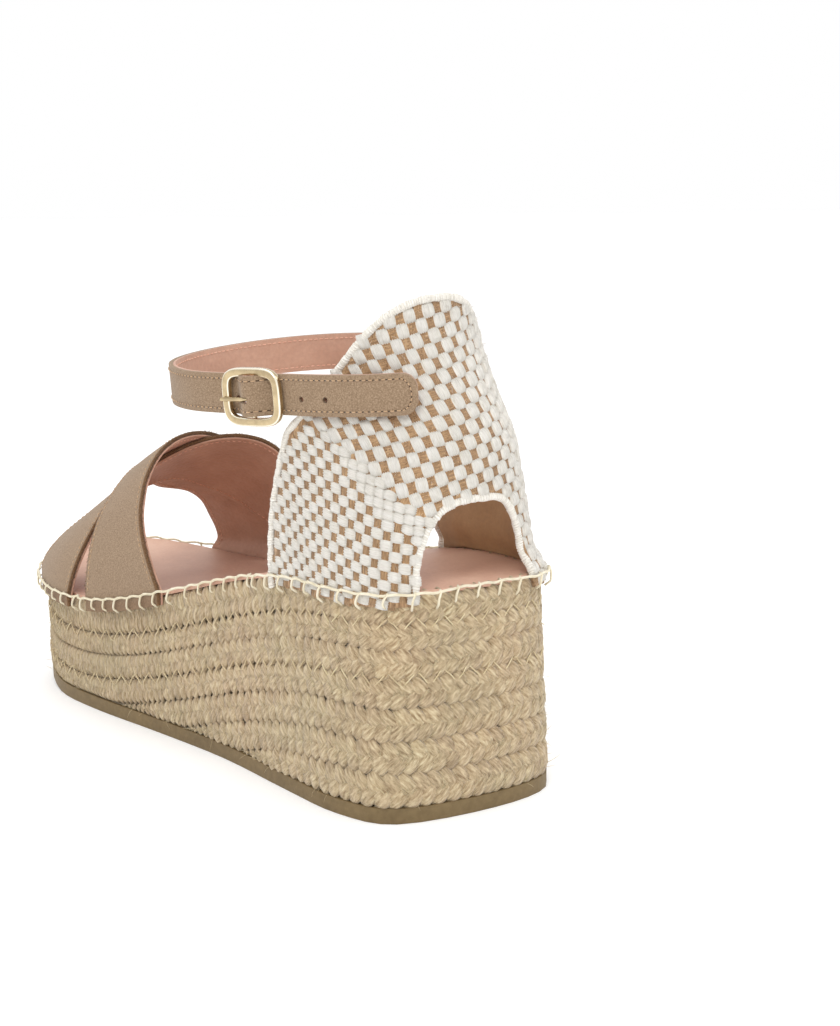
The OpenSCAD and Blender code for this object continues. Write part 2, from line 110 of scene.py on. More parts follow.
# ---------- sole ----------
def section_at(s, z, out=0.0):
    p = loop_at(SOLE, s)
    t = loop_at(SOLE, s + 0.02) - loop_at(SOLE, s - 0.02)
    out -= FLARE * clamp01(0.2 - p.y / 100) * z / HEEL_H
    return p + out * Vector((-t.y, t.x)).normalized()


def toe_rise(y, k):
    return k * max(0.0, (y - 75) / 48) ** 2


def rim_z(y):
    return HEEL_H - DROP * ease((y + 85) / 148) + toe_rise(y, 6)


def rubber_top(y):
    return RUBBER + toe_rise(y, TOE_SPRING)


def row_z(k, y):
    if k == 0:
        return rim_z(y) - SOCK - GAP
    if k >= len(ROW_TOP):
        return rubber_top(y)
    z = ROW_TOP[k] - ROW_DROP * ease((y + 100) / 165)
    return max(z + toe_rise(y, mix(TOE_SPRING, 6, clamp01(z / 41))), rubber_top(y))


DENSE = 1440
_s = [len(SOLE) * i / DENSE for i in range(DENSE + 1)]
_p = [section_at(s, 40) for s in _s]
_len = np.concatenate([[0], np.cumsum([(b - a).length for a, b in zip(_p, _p[1:])])])
PERIMETER = float(_len[-1])


def s_of(length):
    return float(np.interp(length % PERIMETER, _len, _s))


def wall(length, z, out=0.0):
    """Point on the jute wall at a running length round the sole."""
    p = section_at(s_of(length), z, out)
    return Vector((p.x, p.y, z))


def wall_normal(length):
    a, b = wall(length - 0.5, 40), wall(length + 0.5, 40)
    t = b - a
    return Vector((-t.y, t.x, 0)).normalized()


# ---------- heel panel ----------
PANEL_S, WING, HEM_OUT, TUCK, HEM = 3.2, math.radians(72), 0.7, 3.6, 4.5
CUT_MID, CUT_HALF, CUT_SHAPE = 1.8, 20.0, 3.6


def panel_skin(a, z):
    tuck = TUCK * ease((50 - a) / 70) * ease((z - HEEL_H - 0.5) / 8)
    base = section_at(a / 90 * PANEL_S, HEEL_H, HEM_OUT + CANVAS - tuck)
    back = -120 + 17 * ease((z - 104) / 42)
    front = -61 - 12 * (z - 68) / 44
    wide = 36.5 - 4 * clamp01((z - 118) / 34) if a > 0 else 36 - 13 * clamp01((z - 108) / 44)
    w = a / 90 * WING
    top = Vector((-2 - wide * math.sin(w) / math.sin(WING),
                  front + (back - front) * (math.cos(w) - math.cos(WING)) / (1 - math.cos(WING))))
    p = mix(base, top, ease((z - HEEL_H + 3) / 61))
    return Vector((p.x, p.y, z))


def panel_normal(a, z):
    """Unit vector into the shoe."""
    da = panel_skin(min(90, a + 1), z) - panel_skin(max(-90, a - 1), z)
    dz = panel_skin(a, z + 1) - panel_skin(a, z - 1)
    return da.cross(dz).normalized()


def panel_point(a, z, depth):
    return panel_skin(a, z) + depth * panel_normal(a, z)


def panel_top_z(a):
    return APEX - SLOPE * abs(a / 90) ** 2.5


def panel_low_z(a):
    t = min(1.0, abs(a - CUT_MID) / CUT_HALF)
    return HEEL_H - HEM + (CUT_H + HEM) * (1 - t ** CUT_SHAPE) ** (1 / CUT_SHAPE)


# ---------- vamp ----------
_outer = sorted((p.y, p.x) for p in (section_at(3 + i / 4, 45) for i in range(25)))
_inner = sorted((p.y, p.x) for p in (section_at(15.5 - i / 4, 45) for i in range(21)))
OVER_FRONT = [(0, 49), (35, 47), (60, 53), (90, 80), (115, 85), (145, 96), (180, 100)]
OVER_REAR = [(0, 3), (35, 20), (60, 31), (90, 41), (115, 49), (145, 60), (165, 66), (180, 69)]
UNDER_FRONT = [(0, 103), (35, 92), (60, 81), (90, 72), (115, 75), (145, 72), (165, 62), (180, 54)]
UNDER_REAR = [(0, 62), (35, 53), (60, 52), (90, 41), (115, 31), (145, 27), (180, 14)]
SUEDE_OUT = HEM_OUT + LINING + GAP
CROSSING = LINING + SUEDE + 3 * GAP


def edge_y(edge, t):
    s = float(np.interp(t, [e[0] for e in edge], range(len(edge))))
    return float(path_at([(e[1],) for e in edge], s)[0])


def arch_point(t, y, out):
    xo = float(np.interp(y, *zip(*_outer))) - out
    xi = float(np.interp(y, *zip(*_inner))) + out
    c = min(180, max(0, t))
    past = max(-t, t - 180, 0)
    high = 15 + (INSTEP - 15) * (1 - ease((y - 25) / 95)) + out
    rad = math.radians(c)
    return Vector(((xo + xi) / 2 - (xi - xo) / 2 * math.cos(rad), y,
                   rim_z(y) + high * math.sin(rad) - HEM * past / 10))


def band_point(front, rear, t, f, base, lift, extra):
    """f runs from 0 at the front edge to 1 at the rear edge."""
    c = min(180, max(0, t))
    out = base + lift * ease(min(c / 35, (180 - c) / 12)) + extra
    return arch_point(t, mix(edge_y(front, c), edge_y(rear, c), f), out)


# ---------- ankle strap ----------
STRAP_LINE = [(-19.5, -112), (-26.3, -106), (-32.4, -97.8), (-37.2, -87.4), (-40.7, -76.5),
              (-45, -63.8), (-49.5, -51), (-51.5, -38), (-49, -24), (-42, -11), (-31, -1),
              (-16, 5), (0, 6), (14, 2), (25, -7), (31.5, -20), (33.5, -36), (32, -52),
              (27.5, -66), (21.9, -78), (18.5, -90)]
_fine = [(len(STRAP_LINE) - 1) * i / 80 for i in range(81)]
_line = [path_at(STRAP_LINE, s) for s in _fine]
_line_len = np.concatenate([[0], np.cumsum([np.linalg.norm(b - a)
                                            for a, b in zip(_line, _line[1:])])])
STRAP_LEN = float(_line_len[-1])
BAR_D, STRAP_T, BAR_R = 54.0, SUEDE + GAP + LINING, 0.8
FRAME_GAP, EYE_FIT, LOOP_THICK, OVER_BAR = 0.6, 0.06, 0.75, 0.2
RISE = (STRAP_T / 2 + FRAME_GAP + BAR_R + (BAR_R + EYE_FIT + LOOP_THICK) + OVER_BAR
        + STRAP_T / 2)
RISE_HALF = 22 / 2 - 2 - 1.2


def strap_point(d, off, z):
    """Point at length d from the tip, off outward of the strap's middle, z up across it."""
    def at(x):
        return path_at(STRAP_LINE, float(np.interp(x, _line_len, _fine)))
    t = at(d + 0.5) - at(d - 0.5)
    t /= np.linalg.norm(t)
    u = abs(d - BAR_D) / RISE_HALF
    rise = RISE * (0.5 + 0.5 * math.cos(math.pi * u)) if u < 1 else 0
    x, y = at(d) + np.array((-t[1], t[0])) * (off + rise)
    c, s = math.cos(STRAP_TILT), math.sin(STRAP_TILT)
    return Vector((x * c - z * s, y, STRAP_Z + x * s + z * c))


# ---------- mesh building ----------
class Build:
    """Collects vertices and faces in mm; each vertex carries (along, around, tone)."""

    def __init__(self):
        self.verts, self.faces, self.marks = [], [], []

    def add(self, point, mark):
        self.verts.append(point)
        self.marks.append(mark)
        return len(self.verts) - 1

    def sweep(self, path, normals, wide, thick, sides=8, ring=False, tone=0.5, turns=1.0,
              square=2.0):
        """A cord along path; wide lies across the normal, thick along it, as lists with one
        value a point. The section is an ellipse, or squarer where square is over 2."""
        def bulge(v):
            return math.copysign(abs(v) ** (2 / square), v)
        n = len(path)
        rows, run = [], 0.0
        for i, p in enumerate(path):
            a = path[(i + 1) % n] if ring or i < n - 1 else p
            b = path[i - 1] if ring or i > 0 else p
            t = (a - b).normalized()
            side = t.cross(normals[i]).normalized()
            up = side.cross(t)
            if i:
                run += (p - path[i - 1]).length
            rows.append([self.add(p + side * wide[i] * bulge(math.cos(w))
                                  + up * thick[i] * bulge(math.sin(w)),
                                  (run, turns * k / sides, tone))
                         for k, w in ((k, 2 * math.pi * k / sides) for k in range(sides))])
        for i in range(n if ring else n - 1):
            for k in range(sides):
                m = (k + 1) % sides
                j = (i + 1) % n
                self.faces.append((rows[i][k], rows[i][m], rows[j][m], rows[j][k]))
        if not ring:
            self.faces.append(tuple(reversed(rows[0])))
            self.faces.append(tuple(rows[-1]))

    def grid(self, rows, marks, wrap=False):
        """Rows of points, all as long as each other; wrap joins the last column to the first."""
        ids = [[self.add(p, m) for p, m in zip(r, mr)] for r, mr in zip(rows, marks)]
        m = len(rows[0])
        for i in range(len(rows) - 1):
            for j in range(m if wrap else m - 1):
                k = (j + 1) % m
                self.faces.append((ids[i][j], ids[i + 1][j], ids[i + 1][k], ids[i][k]))
        return ids

    def object(self, name, material, body="shoe", slot=None, ride=True):
        mesh = bpy.data.meshes.new(name)
        mesh.from_pydata([v * MM for v in self.verts], [], self.faces)
        mesh.update()
        attribute = mesh.attributes.new("fibre", "FLOAT_VECTOR", "POINT")
        attribute.data.foreach_set("vector", np.array(self.marks, np.float32).ravel())
        obj = bpy.data.objects.new(name, mesh)
        bpy.context.scene.collection.objects.link(obj)
        mesh.materials.append(material)
        outward(mesh)
        for poly in mesh.polygons:
            poly.use_smooth = True
        if ride:
            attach(obj, body)
        return obj


def outward(mesh):
    bm = bmesh.new()
    bm.from_mesh(mesh)
    bmesh.ops.recalc_face_normals(bm, faces=bm.faces)
    bm.to_mesh(mesh)
    bm.free()


def cord(build, path, normals, r, tone=0.5, sides=8, ring=False):
    build.sweep(path, normals, [r] * len(path), [r] * len(path), sides, ring, tone)


def dash(build, a, b, normal, r, tone):
    """One sunk stitch: a short thread that bows outward between its holes."""
    steps = 4
    path, wide = [], []
    for i in range(steps + 1):
        f = i / steps
        path.append(mix(a, b, f) + normal * r * (1.6 * math.sin(math.pi * f) - 0.7))
        wide.append(r * (0.75 + 0.25 * math.sin(math.pi * f)))
    build.sweep(path, [normal] * (steps + 1), wide, wide, 6, False, tone)


# ---------- materials ----------
def srgb(r, g, b):
    return tuple(((c / 255 + 0.055) / 1.055) ** 2.4 if c > 10 else c / 255 / 12.92
                 for c in (r, g, b)) + (1.0,)


class Shader:
    """A small helper over one material's node tree."""

    def __init__(self, name, rough=0.8, metallic=0.0, sheen=0.0, spec=0.5, coat=0.0):
        self.mat = bpy.data.materials.new(name)
        self.mat.use_nodes = True
        self.nodes, self.links = self.mat.node_tree.nodes, self.mat.node_tree.links
        self.bsdf = self.nodes["Principled BSDF"]
        for key, value in (("Roughness", rough), ("Metallic", metallic),
                           ("Sheen Weight", sheen), ("Specular IOR Level", spec),
                           ("Coat Weight", coat)):
            self.bsdf.inputs[key].default_value = value

    def node(self, kind, **inputs):
        n = self.nodes.new(kind)
        for key, value in inputs.items():
            self.set(n, key.replace("_", " "), value)
        return n

    def set(self, node, key, value):
        socket = node.inputs[int(key[1:])] if key[0] == "#" else node.inputs[key]
        if hasattr(value, "is_output"):
            self.links.new(value, socket)
        else:
            socket.default_value = value

    def coords(self, scale=(1, 1, 1)):
        tc = self.node("ShaderNodeTexCoord")
        m = self.node("ShaderNodeMapping", Vector=tc.outputs["Object"])
        m.inputs["Scale"].default_value = scale
        return m.outputs["Vector"]

    def fibre(self, scale=(1, 1, 1)):
        a = self.node("ShaderNodeAttribute")
        a.attribute_name = "fibre"
        m = self.node("ShaderNodeMapping", Vector=a.outputs["Vector"])
        m.inputs["Scale"].default_value = scale
        return m.outputs["Vector"]

    def noise(self, vector, scale, detail=4.0, rough=0.6):
        n = self.node("ShaderNodeTexNoise", Vector=vector, Scale=scale, Detail=detail,
                      Roughness=rough)
        return n.outputs["Fac"]

    def ramp(self, fac, stops):
        n = self.node("ShaderNodeValToRGB", Fac=fac)
        els = n.color_ramp.elements
        while len(els) < len(stops):
            els.new(0.5)
        for e, (pos, col) in zip(els, stops):
            e.position, e.color = pos, col
        return n.outputs["Color"]

    def span(self, fac, low, high):
        n = self.node("ShaderNodeMapRange", Value=fac)
        n.inputs["To Min"].default_value = low
        n.inputs["To Max"].default_value = high
        return n.outputs["Result"]

    def blend(self, fac, a, b, mode="MIX"):
        n = self.nodes.new("ShaderNodeMix")
        n.data_type, n.blend_type = "RGBA", mode
        for key, value in ((0, fac), (6, a), (7, b)):
            if hasattr(value, "is_output"):
                self.links.new(value, n.inputs[key])
            else:
                n.inputs[key].default_value = value
        return n.outputs[2]

    def bump(self, height, distance, strength=1.0, normal=None):
        n = self.node("ShaderNodeBump", Height=height, Distance=distance, Strength=strength)
        if normal is not None:
            self.links.new(normal, n.inputs["Normal"])
        return n.outputs["Normal"]

    def finish(self, color, normal=None, rough=None):
        self.set(self.bsdf, "Base Color", color)
        if normal is not None:
            self.set(self.bsdf, "Normal", normal)
        if rough is not None:
            self.set(self.bsdf, "Roughness", rough)
        return self.mat


def yarn(name, dark, mid, light, hair=0.00025, streak=9.0, sheen=0.25, tints=None, narrow=0.0):
    """Spun yarn: long streaks along the fibre, patchy tone from yarn to yarn. tints are two
    colours that tinge broad patches; narrow sharpens the streaks."""
    s = Shader(name, rough=0.9, sheen=sheen, spec=0.25)
    lines = s.noise(s.fibre((0.22, streak, 37.0)), 1.6, 6.0, 0.7)
    fuzz = s.noise(s.coords(), 2600.0, 3.0)
    patch = s.noise(s.fibre((0.03, 0.3, 53.0)), 1.0, 2.0)
    col = s.ramp(lines, [(0.28 + narrow, dark), (0.52, mid), (0.74 - narrow, light)])
    col = s.blend(0.35, col, s.ramp(patch, [(0.3, dark), (0.7, light)]), "OVERLAY")
    if tints:
        broad = s.noise(s.coords(), 40.0, 3.0)
        col = s.blend(0.45, col, s.ramp(broad, [(0.35, tints[0]), (0.65, tints[1])]),
                      "SOFT_LIGHT")
    normal = s.bump(lines, hair, 0.9, s.bump(fuzz, hair * 0.35, 0.6))
    return s.finish(col, normal, s.span(fuzz, 0.8, 0.97))


def suede(name):
    """Suede with a fine nap; the third fibre mark darkens its cut edges."""
    s = Shader(name, rough=0.95, sheen=0.15, spec=0.08)
    nap = s.noise(s.coords(), 2100.0, 5.0, 0.8)
    brush = s.noise(s.coords((1.0, 0.5, 1.0)), 60.0, 4.0)
    col = s.ramp(nap, [(0.3, srgb(118, 98, 78)), (0.5, srgb(151, 129, 106)),
                       (0.7, srgb(182, 161, 137))])
    col = s.blend(0.25, col, s.ramp(brush, [(0.3, srgb(122, 112, 102)), (0.7, srgb(150, 140, 128))]),
                  "SOFT_LIGHT")
    marks = s.node("ShaderNodeSeparateXYZ", Vector=s.fibre())
    raw = s.ramp(nap, [(0.3, srgb(74, 52, 34)), (0.7, srgb(140, 108, 78))])
    col = s.blend(marks.outputs["Z"], col, raw)
    return s.finish(col, s.bump(nap, 0.00016, 0.8), s.span(brush, 0.88, 0.98))


def leather(name, dark, mid, light, rough=(0.42, 0.62), grain=420.0, depth=0.00012):
    s = Shader(name, rough=0.5, spec=0.4, sheen=0.05)
    v = s.node("ShaderNodeTexVoronoi", Vector=s.coords(), Scale=grain)
    pore = s.noise(s.coords(), 900.0, 4.0)
    cloud = s.noise(s.coords(), 28.0, 5.0)
    col = s.ramp(cloud, [(0.3, dark), (0.5, mid), (0.72, light)])
    col = s.blend(0.22, col, s.ramp(pore, [(0.35, dark), (0.65, light)]), "OVERLAY")
    normal = s.bump(v.outputs["Distance"], depth, 0.7, s.bump(pore, 0.0001, 0.5))
    return s.finish(col, normal, s.span(cloud, *rough))


def metal(name):
    """Pale gold, with a painted highlight on its bevels; flat faces and rims keep the mid colour
    (third fibre mark).
    """
    s = Shader(name, rough=0.2, metallic=1.0, spec=0.5)
    fine = s.noise(s.coords((1.0, 1.0, 6.0)), 700.0, 3.0)
    cloud = s.noise(s.coords(), 160.0, 3.0)
    flat = s.node("ShaderNodeSeparateXYZ", Vector=s.fibre()).outputs["Z"]
    dark, mid, light = srgb(150, 134, 108), srgb(186, 170, 140), srgb(250, 243, 226)
    # painted highlight: the light colour goes on the bevels, part way round the ring's section
    col = s.ramp(flat, [(0.0, mid), (0.45, light), (0.82, light), (0.96, mid)])
    col = s.blend(0.35, col, s.ramp(cloud, [(0.35, dark), (0.65, light)]), "OVERLAY")
    return s.finish(col, s.bump(fine, 0.00002, 0.2), s.span(flat, 0.12, 0.24))


def plain(name, dark, light, rough=(0.6, 0.8), scale=300.0):
    """Rubber, board, foam or cork: a fine grain over a patchy tone."""
    s = Shader(name, rough=0.7, spec=0.35)
    grain = s.noise(s.coords(), scale, 5.0)
    cloud = s.noise(s.coords(), 35.0, 3.0)
    col = s.blend(0.4, s.ramp(cloud, [(0.3, dark), (0.7, light)]),
                  s.ramp(grain, [(0.35, dark), (0.65, light)]))
    return s.finish(col, s.bump(grain, 0.0002, 0.5), s.span(cloud, *rough))


JUTE_TINTS = (srgb(138, 140, 126), srgb(160, 138, 124))
JUTE = yarn("jute", srgb(142, 124, 98), srgb(192, 178, 154), srgb(222, 212, 190), 0.0005, 7.0,
            0.25, JUTE_TINTS, 0.06)
# painted shade: the ground under the strands is real jute, coloured darker than the strands for the
# shade in the grooves between them
JUTE_SHADED_GROUND = yarn("jute_shaded_ground", srgb(122, 104, 78), srgb(160, 144, 118), srgb(190, 176, 150),
                   0.0004, 60.0)
JUTE_THREAD = yarn("jute_thread", srgb(172, 156, 128), srgb(206, 194, 168), srgb(232, 224, 202),
                   0.0001, 3.0, 0.25, JUTE_TINTS)
WHITE_YARN = yarn("white_yarn", srgb(198, 192, 181), srgb(234, 229, 220), srgb(247, 244, 238),
                  0.0004, 4.0, 0.2, None, 0.06)
TAN_YARN = yarn("tan_yarn", srgb(130, 102, 74), srgb(182, 152, 118), srgb(214, 190, 158),
                0.0005, 4.0, 0.2, None, 0.08)
COTTON = yarn("cotton_thread", srgb(188, 178, 154), srgb(220, 210, 188), srgb(240, 234, 218),
              0.0002, 4.0)
STITCH = yarn("sewing_thread", srgb(150, 124, 96), srgb(190, 164, 134), srgb(216, 194, 166),
              0.0001, 3.0)
# painted shade: a near-black brown for the shade in the strap's needle holes
HOLE_SHADE = yarn("stitch_hole_shade", srgb(48, 34, 22), srgb(78, 58, 40), srgb(104, 80, 56), 0.0001, 3.0)
PINK_STITCH = yarn("lining_thread", srgb(196, 152, 130), srgb(220, 180, 160), srgb(238, 206, 190),
                   0.0001, 3.0)
SUEDE_MAT = suede("suede")
SOCK_MAT = leather("sock_leather", srgb(184, 146, 126), srgb(200, 164, 144), srgb(212, 180, 160))
LINING_MAT = leather("lining_leather", srgb(170, 134, 114), srgb(188, 152, 132),
                     srgb(204, 170, 150), (0.45, 0.65), 620.0, 0.00022)
TAN_MAT = leather("heel_leather", srgb(150, 118, 84), srgb(172, 140, 104), srgb(190, 160, 122),
                  (0.6, 0.8))
METAL = metal("pale_gold_metal")
RUBBER_MAT = plain("rubber", srgb(98, 80, 50), srgb(126, 106, 72), (0.45, 0.65), 500.0)
CORE_MAT = plain("cork_core", srgb(140, 104, 66), srgb(190, 152, 106))
BOARD_MAT = plain("fibre_board", srgb(150, 120, 84), srgb(180, 150, 112))
FOAM_MAT = plain("foam", srgb(214, 200, 164), srgb(236, 226, 196), (0.85, 0.95), 900.0)


# ---------- CAD nodes that stay ----------
def dress(node, material, bevel=0.0, segments=2, angle=35):
    obj = NODES[node]
    obj.data.materials.clear()
    obj.data.materials.append(material)
    weld = obj.modifiers.new("weld", "WELD")
    weld.merge_threshold = 0.00001
    if bevel:
        b = obj.modifiers.new("bevel", "BEVEL")
        b.width, b.segments = bevel * MM, segments
        b.limit_method, b.angle_limit = "ANGLE", math.radians(angle)
        b.use_clamp_overlap = True
    for poly in obj.data.polygons:
        poly.use_smooth = True
    obj.data.set_sharp_from_angle(angle=math.radians(angle)) if not bevel else None
    return obj


dress("outsole", RUBBER_MAT, 0.6)
dress("wedge_core", CORE_MAT)
dress("insole_board", BOARD_MAT)
dress("insole_padding", FOAM_MAT)
dress("insole_sock", SOCK_MAT, 0.4)
dress("heel_lining", TAN_MAT)
dress("buckle_prong", METAL, 0.12, 2, 40)
dress("buckle_strap", SUEDE_MAT, 0.25)


# ---------- plaited jute rows ----------
PITCH_HEEL, PITCH_TOE = 4.4, 2.5
ROWS = range(1, 8)


def coarse(y):
    """1 at the heel, where the plait shows, falling to 0 where it is brushed smooth."""
    return 1 - ease((y + 60) / 110)


def row_band(k, length):
    y = wall(length, 40).y
    return row_z(k, y), row_z(k - 1, y)


def row_point(k, length, across, lift):
    """Point on a row's rounded face; across is -1 at its lower edge and 1 at its upper edge."""
    lo, hi = row_band(k, length)
    z = mix(lo, hi, 0.5 + 0.5 * across)
    return wall(length, z, -0.35 - 1.6 * abs(across) ** 4 + lift)


def plait(k):
    """One row: a rounded ground, two files of slanted strands that meet in chevrons, and
    the loose fibres that lie on them."""
    ground, strands, hairs = Build(), Build(), Build()
    steps = 260
    rows, marks = [], []
    for i in range(steps + 1):
        length = PERIMETER * i / steps
        lo, hi = row_band(k, length)
        hi = max(hi - 0.15, lo + 0.05)
        # the inner face ends lower toward the toe, where the row rises outward
        y_in = wall(length, 40, -8.5).y
        lo_in = row_z(k, y_in)
        hi_in = max(row_z(k - 1, y_in) - 0.15, lo_in + 0.05)
        section = ((lo_in, -8.5), (lo, -2.4), (mix(lo, hi, 0.12), -1.1), (mix(lo, hi, 0.5), -0.8),
                   (mix(lo, hi, 0.88), -1.1), (hi, -2.4), (hi_in, -8.5))
        rows.append([wall(length, z, out) for z, out in section])
        marks.append([(length, j / 7, k * 0.1) for j in range(7)])
    ground.grid(rows, marks, wrap=True)
    for up in (1, -1):
        length = (0.25 + 0.25 * up) * PITCH_HEEL
        while length < PERIMETER:
            c = coarse(wall(length, 40).y)
            pitch = mix(PITCH_TOE, PITCH_HEEL, c) * (0.92 + 0.16 * rng.random())
            strand(strands, hairs, k, length, up, pitch, c)
            length += pitch
    # the ground shows in the grooves, where its darker colour is painted shade
    base = ground.object(f"jute_shaded_ground_{k}", JUTE_SHADED_GROUND, slot="jute")
    top = strands.object(f"jute_plait_{k}", JUTE, slot="jute")
    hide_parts(f"braid_row_{k}")
    hairs.object(f"jute_fibres_{k}", JUTE_THREAD, slot="jute_thread")
    return base, top


def strand(build, hairs, k, start, up, pitch, c):
    """A strand from the row's middle out to its upper or lower edge, with its fibres."""
    lo, hi = row_band(k, start)
    tall = hi - lo
    if tall < 1.0:
        return
    steps = 6
    full = min(1.0, tall / 6)
    lean = (mix(0.9, 5.0, c) + 0.8 * (rng.random() - 0.5)) * full
    path, normals, wide, thick = [], [], [], []
    for i in range(steps + 1):
        f = i / steps
        length = start + lean * (f - 0.2)
        swell = math.sin(math.pi * min(1, 0.16 + 0.68 * f)) ** 0.6
        sink = -mix(0.4, 0.9, c) * (1 - swell)
        path.append(row_point(k, length, up * (-0.16 + 1.1 * f ** 0.9), sink))
        normals.append(wall_normal(length))
        wide.append(pitch * (0.44 + 0.22 * swell) * full)
        thick.append((0.3 + mix(0.3, 0.72, c) * swell) * full)
    build.sweep(path, normals, wide, thick, 8, False, rng.random(), 2.0, 2.3)
    for _ in range(round(mix(5, 8, c))):
        f0 = 0.9 * rng.random() - 0.1
        f1 = f0 + 0.3 + 0.5 * rng.random()
        shift = (rng.random() - 0.5) * pitch
        skew = rng.gauss(0, mix(0.9, 0.7, c))
        rise = 0.9 * rng.random() ** 3
        r = 0.05 + 0.05 * rng.random()
        fibre, widths = [], []
        for j in range(4):
            g = mix(f0, f1, j / 3)
            length = start + lean * (g - 0.2) + shift + skew * j / 3
            across = min(0.98, max(-0.3, -0.16 + 1.1 * g))
            fibre.append(row_point(k, length, up * across,
                                   mix(0.45, 0.7, c) * full + 0.15 + rise * (j / 3) ** 2))
            widths.append(r * (1 - 0.5 * j / 3))
        hairs.sweep(fibre, [normals[0]] * 4, widths, widths, 3, False, rng.random())


def jute_fuzz():
    """Stray hairs that stand off the wall."""
    hairs = Build()
    for _ in range(1500):
        k = rng.randint(1, 7)
        length = rng.random() * PERIMETER
        lo, hi = row_band(k, length)
        if hi - lo < 2:
            continue
        n, p = wall_normal(length), wall(length, mix(lo, hi, rng.random()), -0.6)
        t = Vector((rng.gauss(0, 1), rng.gauss(0, 1), rng.gauss(0, 0.8))).normalized()
        reach = 1.2 + 2.6 * rng.random() ** 2
        path = [p, p + n * 0.9 + t * 0.5 * reach,
                p + n * (1.0 + 0.5 * rng.random()) + t * reach,
                p + n * (0.8 + 0.9 * rng.random()) + t * reach * 1.5 + Vector((0, 0, -0.2))]
        r = 0.05 + 0.03 * rng.random()
        hairs.sweep(path, [n] * 4, [r, r, r * 0.8, r * 0.3], [r, r, r * 0.8, r * 0.3], 3, False,
                    rng.random())
    return hairs.object("jute_fuzz", JUTE_THREAD, slot="jute_thread")


def zigzag(k, name, node):
    thread = Build()
    teeth = round(PERIMETER / 8.6)
    path, normals = [], []
    sub = 4
    for i in range(teeth * 2 * sub):
        f = i / sub
        tooth = abs((f % 2) - 1) * 2 - 1
        length = f * PERIMETER / (2 * teeth)
        y = wall(length, 40).y
        z = row_z(k, y) + 2.3 * tooth + 0.25 * rng.gauss(0, 0.5)
        path.append(wall(length, z, 0.45 - 0.6 * abs(tooth) ** 4))
        normals.append(wall_normal(length))
    cord(thread, path, normals, 0.2, 0.4, 6, True)
    obj = thread.object(name, JUTE_THREAD, slot="jute_thread")
    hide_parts(node)
    return obj


for row in ROWS:
    plait(row)
jute_fuzz()
zigzag(1, "zigzag_thread_upper", "zigzag_stitch_upper")
zigzag(3, "zigzag_thread_lower", "zigzag_stitch_lower")


# ---------- blanket stitch ----------
def covered(p):
    def ramp(v, lo, hi):
        return clamp01(1 + min(v - lo, hi - v) / 4)
    if p.y < -40:
        return min(ramp(p.y, -200, -52), 1 - ramp(p.x, -13, 9) * ramp(p.y, -200, -108))
    if p.x < 0:
        return max(ramp(p.y, -1, 53), ramp(p.y, 58, 107))
    return ramp(p.y, 10, 104)


def rim_stitch():
    thread = Build()
    stitches, over = 78, SUEDE_OUT + SUEDE

    def at(length, drop, out):
        s = s_of(length)
        q = section_at(s, HEEL_H)
        layer = HEM_OUT + CANVAS + 0.4 if q.y < -40 else over
        p = section_at(s, HEEL_H, out + covered(q) * layer)
        return Vector((p.x, p.y, rim_z(p.y) - drop))
    n = stitches * 6
    path = []
    for i in range(n):
        wave = math.sin(2 * math.pi * i / 6)
        path.append(at(PERIMETER * i / n, -0.1 - 0.25 * wave, 0.7 + 0.15 * wave))
    cord(thread, path, [Vector((0, 0, 1))] * n, 0.42, 0.4, 8, True)
    for i in range(stitches):
        length = PERIMETER * (i + 0.5) / stitches + 0.6 * rng.gauss(0, 0.4)
        slant = 0.9 + 0.5 * rng.random()
        deep = 4.6 + 1.2 * rng.random()
        leg, normals = [], []
        for j in range(9):
            f = j / 8
            out = (1.25 - 1.9 * max(0, f - 0.72) / 0.28 * (1.0 if f > 0.72 else 0)
                   - 1.2 * max(0, 0.14 - f) / 0.14)
            leg.append(at(length + slant * math.sin(f * 2.4), -0.55 + deep * f, out))
            normals.append(wall_normal(length))
        cord(thread, leg, normals, 0.36, rng.random(), 8)
    obj = thread.object("blanket_stitch", COTTON, slot="cotton_thread")
    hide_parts("rim_stitch")
    return obj


rim_stitch()


# ---------- woven heel panel ----------
# Running length round the panel from the back of the heel, mm, by height and sweep angle
LEVELS = [58.0 + 3 * i for i in range(34)]
SWEEPS = [3.0 * i - 90 for i in range(61)]


def panel_lengths(z):
    points = [panel_skin(a, z) for a in SWEEPS]
    run = np.concatenate([[0], np.cumsum([(b - a).length for a, b in zip(points, points[1:])])])
    return run - run[len(run) // 2]


PANEL_RUN = [panel_lengths(float(z)) for z in LEVELS]


def sweep_at(u, z):
    """Sweep angle at running length u and height z."""
    s = min(len(LEVELS) - 1.001, max(0.0, (z - LEVELS[0]) / 3.0))
    i = int(s)
    low, high = (float(np.interp(u, PANEL_RUN[k], SWEEPS)) for k in (i, i + 1))
    return mix(low, high, s - i)


def cell_places(turn, wide, tall, keep):
    """Cells of a checker turned by an angle: (running length, height, column, row)."""
    c, s = math.cos(turn), math.sin(turn)
    for i in range(-46, 47):
        for j in range(-34, 35):
            u, z = c * i * wide - s * j * tall, 108 + s * i * wide + c * j * tall
            if abs(u) > 95 or not 60 < z < APEX:
                continue
            a = sweep_at(u, z)
            if abs(a) < 88.6 and panel_low_z(a) + 0.9 < z < panel_top_z(a) - 0.9 and keep(u, z):
                yield u, z, i, j


def above_join(u, z):
    """Distance above the line where the upper cloth meets the lower one, on the outer side."""
    if u < 14:
        return 99.0
    return (z - 88.5 - 0.78 * (u - 19)) * 0.79


